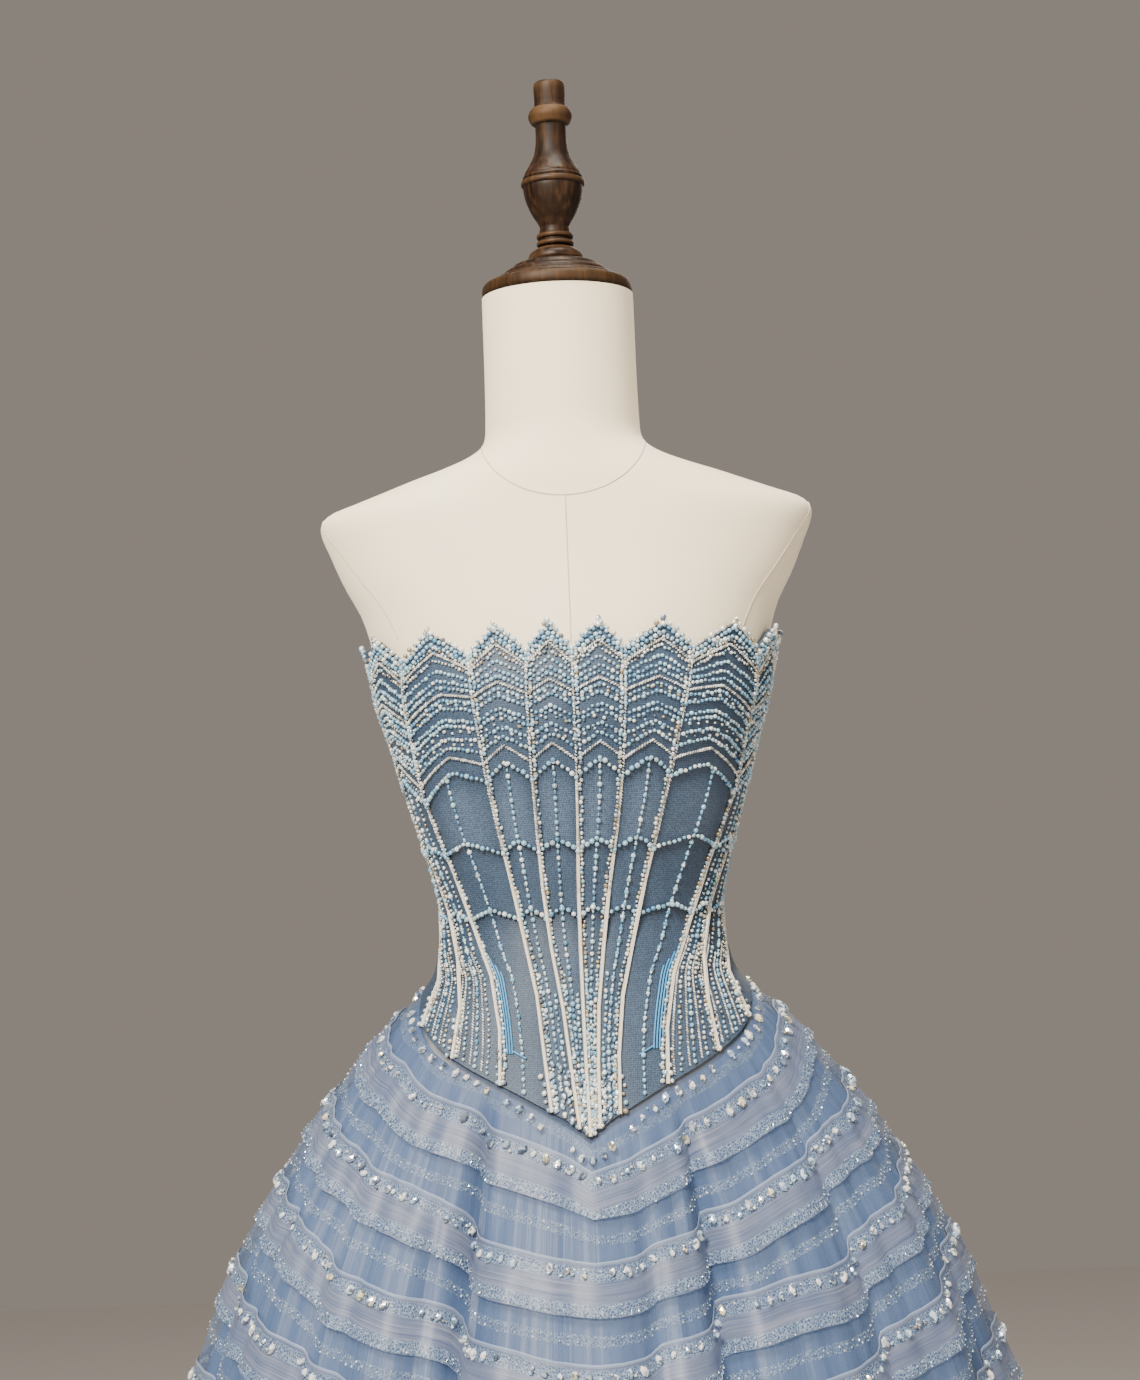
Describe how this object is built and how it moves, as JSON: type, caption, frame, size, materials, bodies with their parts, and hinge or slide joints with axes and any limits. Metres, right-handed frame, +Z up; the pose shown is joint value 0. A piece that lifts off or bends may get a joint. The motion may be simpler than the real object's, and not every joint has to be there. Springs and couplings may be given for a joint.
{
  "type": "ball gown on a dress form",
  "caption": "Strapless beaded ball gown with a boned, pointed bodice and a full banded skirt, worn by a limbless dress form on a turned wooden stand.",
  "frame": {"origin": "centre of the foot's underside, on the floor", "axes": "+Z up the stand's pole, -Y out of the front of the gown, +X towards the wearer's left"},
  "size_m": [1.0933, 1.0002, 1.7494],
  "materials": {
    "jersey": "fine matt cream jersey, stretched smooth",
    "wood": "dark turned wood, satin lacquer, worn lighter on the edges",
    "bodice_net": "fine net over satin, soft sheen",
    "bone_cord": "ivory corded thread",
    "skirt_net": "sheer tulle",
    "under_skirt": "opaque gathered cloth with a soft sheen",
    "crin_band": "sheer horsehair braid, silky",
    "bead": "small glossy glass beads and cut stones",
    "zip_metal": "polished nickel"
  },
  "bodies": {
    "gown_and_form": {"bodice_back_left": "bodice_net", "bodice_back_right": "bodice_net", "bodice_centre_front_left": "bodice_net", "bodice_centre_front_right": "bodice_net", "bodice_front_left": "bodice_net", "bodice_front_right": "bodice_net", "bodice_side_back_left": "bodice_net", "bodice_side_back_right": "bodice_net", "bodice_side_front_left": "bodice_net", "bodice_side_front_right": "bodice_net", "bodice_side_left": "bodice_net", "bodice_side_right": "bodice_net", "bodice_underarm_left": "bodice_net", "bodice_underarm_right": "bodice_net", "bone_back_left": "bone_cord", "bone_back_right": "bone_cord", "bone_centre": "bone_cord", "bone_centre_left": "bone_cord", "bone_centre_right": "bone_cord", "bone_front_left": "bone_cord", "bone_front_right": "bone_cord", "bone_side_front_left": "bone_cord", "bone_side_front_right": "bone_cord", "bone_side_left": "bone_cord", "bone_side_right": "bone_cord", "bone_underarm_left": "bone_cord", "bone_underarm_right": "bone_cord", "crin_band_01": "crin_band", "crin_band_02": "crin_band", "crin_band_03": "crin_band", "crin_band_04": "crin_band", "crin_band_05": "crin_band", "crin_band_06": "crin_band", "crin_band_07": "crin_band", "crin_band_08": "crin_band", "crin_band_09": "crin_band", "crin_band_10": "crin_band", "crin_band_11": "crin_band", "crin_band_12": "crin_band", "crin_band_13": "crin_band", "finial": "wood", "form_base": "wood", "form_torso": "jersey", "neck_cap": "wood", "pole": "wood", "pole_collar": "wood", "skirt_net_back": "skirt_net", "skirt_net_front": "skirt_net", "skirt_net_left": "skirt_net", "skirt_net_right": "skirt_net", "stand_foot": "wood", "under_skirt_back": "under_skirt", "under_skirt_front": "under_skirt", "under_skirt_left": "under_skirt", "under_skirt_right": "under_skirt", "zip_slider": "zip_metal"},
    "zip_tab": {"zip_pull": "zip_metal"}
  },
  "joints": [
    {"name": "zip_pull_swing", "type": "hinge", "parent": "gown_and_form", "child": "zip_tab", "pos_m": [0, 0.08923, 1.236], "axis": [1, 0, 0], "range_deg": [-6, 150]}
  ]
}
